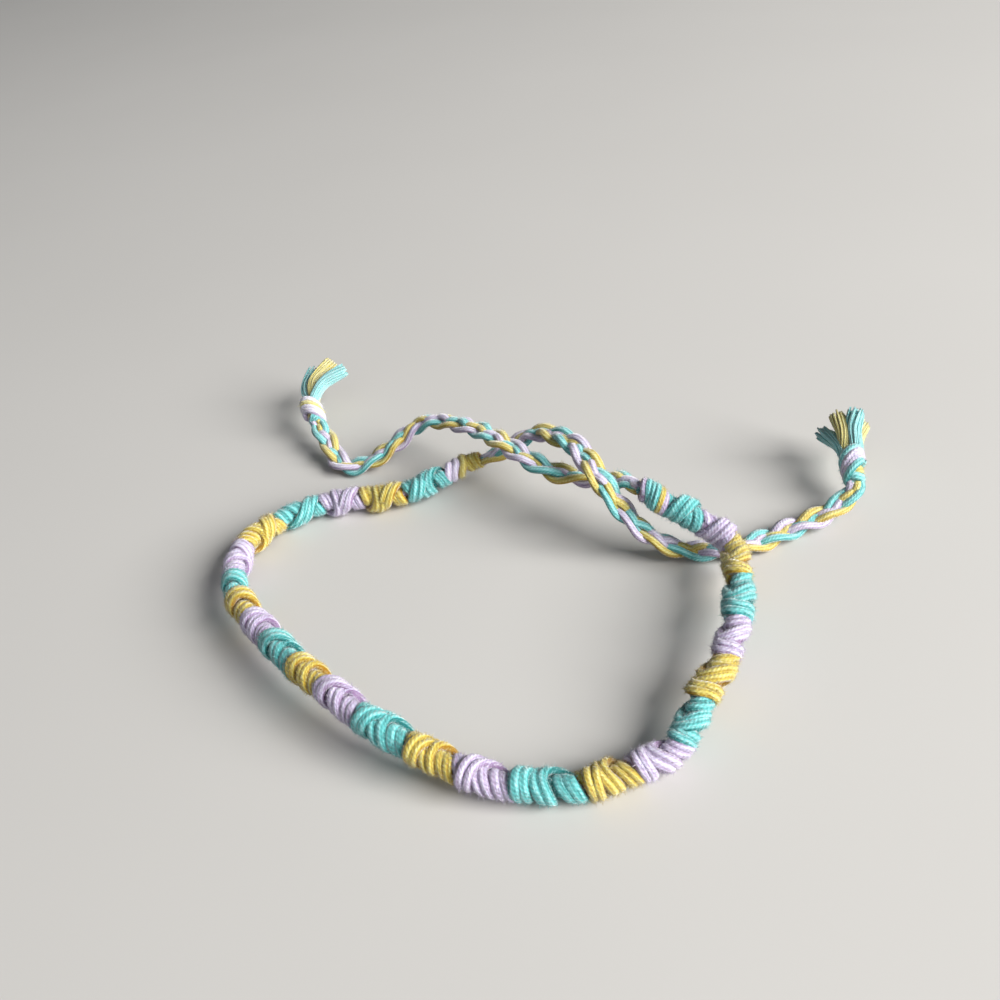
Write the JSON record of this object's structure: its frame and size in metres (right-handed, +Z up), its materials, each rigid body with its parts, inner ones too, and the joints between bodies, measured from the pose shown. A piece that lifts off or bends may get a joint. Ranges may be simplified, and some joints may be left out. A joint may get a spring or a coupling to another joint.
{
  "type": "woven bracelet",
  "caption": "Knotted cotton floss bracelet: a band of teal, yellow and lilac knot blocks laid as an open loop, with two plaited ties that end in knots and tassels.",
  "frame": {"origin": "on the table, under the middle of the bracelet's outline seen from above", "axes": "+X to the right of the picture, +Y away from the viewer, +Z up from the table"},
  "size_m": [0.0896, 0.0885, 0.0123],
  "materials": {
    "teal_floss": "mercerised cotton, soft sheen",
    "yellow_floss": "mercerised cotton, soft sheen",
    "lilac_floss": "mercerised cotton, soft sheen",
    "mixed_floss": "mercerised cotton, soft sheen"
  },
  "bodies": {
    "root": {"block_01_teal": "teal_floss", "block_02_yellow": "yellow_floss", "block_03_lilac": "lilac_floss", "block_04_teal": "teal_floss", "block_05_yellow": "yellow_floss", "block_06_lilac": "lilac_floss", "block_07_teal": "teal_floss", "block_08_yellow": "yellow_floss", "block_09_lilac": "lilac_floss", "block_10_teal": "teal_floss", "block_11_yellow": "yellow_floss", "block_12_lilac": "lilac_floss", "block_13_teal": "teal_floss", "block_14_yellow": "yellow_floss", "block_15_lilac": "lilac_floss", "block_16_teal": "teal_floss", "block_17_yellow": "yellow_floss", "block_18_lilac": "lilac_floss", "block_19_teal": "teal_floss", "block_20_yellow": "yellow_floss", "block_21_lilac": "lilac_floss", "block_22_teal": "teal_floss", "block_23_yellow": "yellow_floss", "block_24_lilac": "lilac_floss", "block_25_teal": "teal_floss", "core_strands": "mixed_floss", "left_end_knot": "lilac_floss", "left_end_wrap": "yellow_floss", "right_end_knot": "teal_floss", "left_tie_strand_1": "teal_floss", "left_tie_strand_2": "yellow_floss", "left_tie_strand_3": "lilac_floss", "right_tie_strand_1": "teal_floss", "right_tie_strand_2": "yellow_floss", "right_tie_strand_3": "lilac_floss", "left_tie_knot": "lilac_floss", "right_tie_knot": "lilac_floss", "left_tie_tassel": "teal_floss", "right_tie_tassel": "teal_floss"}
  },
  "joints": []
}
